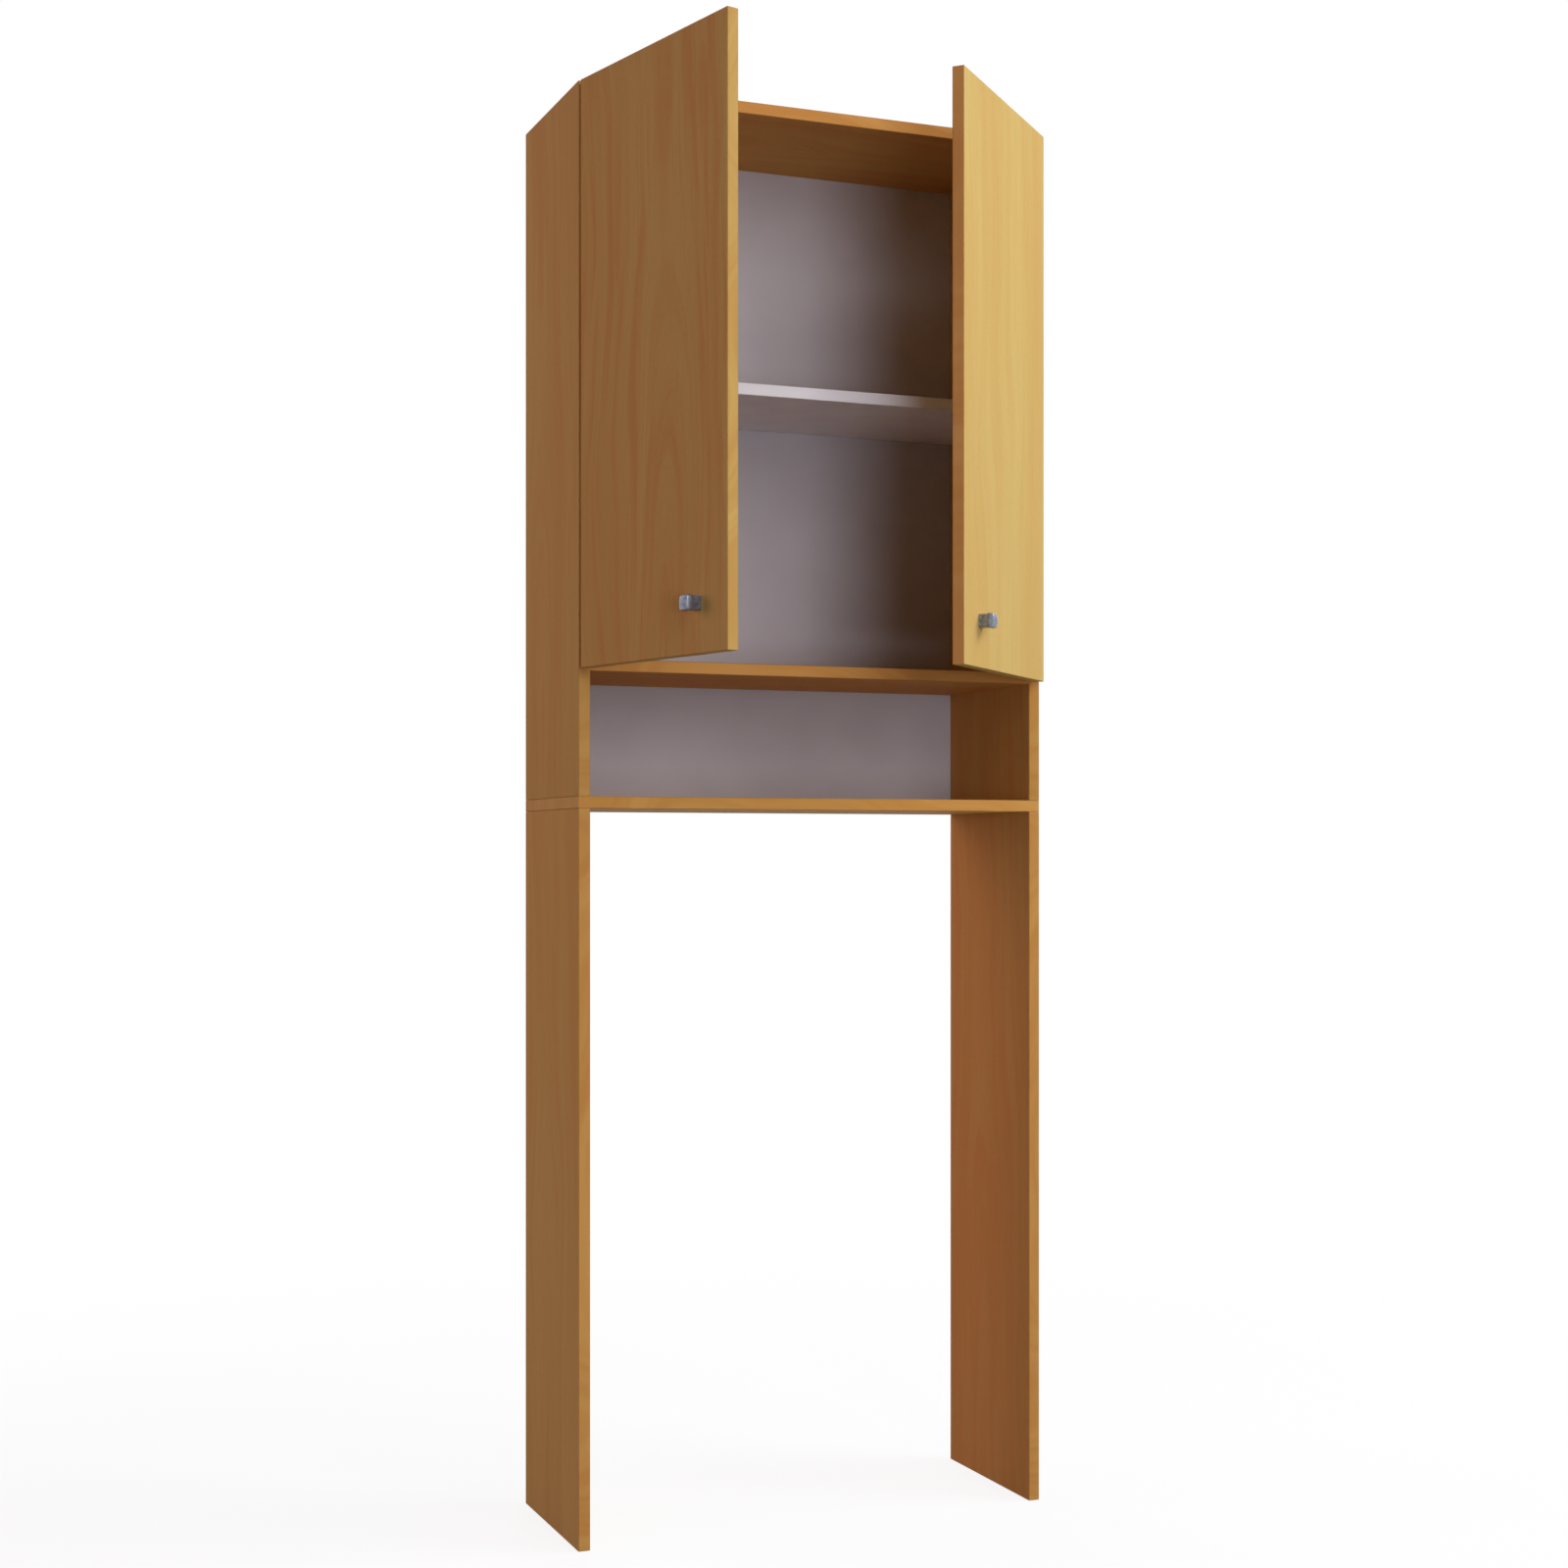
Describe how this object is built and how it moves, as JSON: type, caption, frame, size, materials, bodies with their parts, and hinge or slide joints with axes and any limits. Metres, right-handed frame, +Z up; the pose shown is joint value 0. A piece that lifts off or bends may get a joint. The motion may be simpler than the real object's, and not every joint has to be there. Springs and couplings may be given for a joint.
{
  "type": "washing machine cabinet",
  "caption": "Tall bathroom cabinet on two leg panels, open below for a machine, with an open compartment and a two-door cupboard with a shelf above.",
  "frame": {"origin": "on the floor, under the middle of the space that the cabinet takes up with both doors open", "axes": "+Z up, the front with the doors faces -Y, the back faces +Y, +X to the right seen from the front"},
  "size_m": [0.6705, 0.5801, 1.922],
  "materials": {
    "decor_board": "particle board with a honey beech decor foil, fine vertical grain, satin, edges banded in the same colour",
    "white_board": "particle board with white melamine, satin",
    "white_hardboard": "thin hardboard, white lacquered on the face, brown on the rear",
    "knob_chrome": "satin chrome",
    "hinge_steel": "nickel-plated pressed steel",
    "fitting_zinc": "zinc-plated steel and die-cast zinc",
    "dowel_beech": "bare beech",
    "bumper_plastic": "clear soft plastic"
  },
  "bodies": {
    "carcass": {"left_leg_panel": "decor_board", "right_leg_panel": "decor_board", "mid_board": "decor_board", "left_side_panel": "decor_board", "right_side_panel": "decor_board", "top_board": "decor_board", "bay_floor": "decor_board", "adjustable_shelf": "white_board", "back_panel": "white_hardboard", "left_front_housing_screw": "fitting_zinc", "left_front_side_dowel": "dowel_beech", "left_front_shelf_pin": "fitting_zinc", "right_front_housing_screw": "fitting_zinc", "right_front_side_dowel": "dowel_beech", "right_front_shelf_pin": "fitting_zinc", "left_rear_housing_screw": "fitting_zinc", "left_rear_side_dowel": "dowel_beech", "left_rear_shelf_pin": "fitting_zinc", "right_rear_housing_screw": "fitting_zinc", "right_rear_side_dowel": "dowel_beech", "right_rear_shelf_pin": "fitting_zinc", "top_board_left_cam": "fitting_zinc", "top_board_left_cam_bolt": "fitting_zinc", "top_board_left_dowel": "dowel_beech", "top_board_right_cam": "fitting_zinc", "top_board_right_cam_bolt": "fitting_zinc", "top_board_right_dowel": "dowel_beech", "bay_floor_left_cam": "fitting_zinc", "bay_floor_left_cam_bolt": "fitting_zinc", "bay_floor_left_dowel": "dowel_beech", "bay_floor_right_cam": "fitting_zinc", "bay_floor_right_cam_bolt": "fitting_zinc", "bay_floor_right_dowel": "dowel_beech", "left_wall_bracket": "fitting_zinc", "left_upper_hinge_arm": "hinge_steel", "left_upper_hinge_plate": "hinge_steel", "left_lower_hinge_arm": "hinge_steel", "left_lower_hinge_plate": "hinge_steel", "right_wall_bracket": "fitting_zinc", "right_upper_hinge_arm": "hinge_steel", "right_upper_hinge_plate": "hinge_steel", "right_lower_hinge_arm": "hinge_steel", "right_lower_hinge_plate": "hinge_steel"},
    "left_door": {"left_door": "decor_board", "left_knob": "knob_chrome", "left_knob_screw": "fitting_zinc", "left_bumper": "bumper_plastic", "left_upper_hinge_cup": "hinge_steel", "left_upper_hinge_pin": "hinge_steel", "left_lower_hinge_cup": "hinge_steel", "left_lower_hinge_pin": "hinge_steel"},
    "right_door": {"right_door": "decor_board", "right_knob": "knob_chrome", "right_knob_screw": "fitting_zinc", "right_bumper": "bumper_plastic", "right_upper_hinge_cup": "hinge_steel", "right_upper_hinge_pin": "hinge_steel", "right_lower_hinge_cup": "hinge_steel", "right_lower_hinge_pin": "hinge_steel"}
  },
  "joints": [
    {"name": "left_door_hinge", "type": "hinge", "parent": "carcass", "child": "left_door", "pos_m": [-0.325, 0.0252, 1.52], "axis": [0, 0, -1], "range_deg": [-75.75, 19.25]},
    {"name": "right_door_hinge", "type": "hinge", "parent": "carcass", "child": "right_door", "pos_m": [0.325, 0.0252, 1.52], "axis": [0, 0, 1], "range_deg": [-44.26, 50.74]}
  ]
}
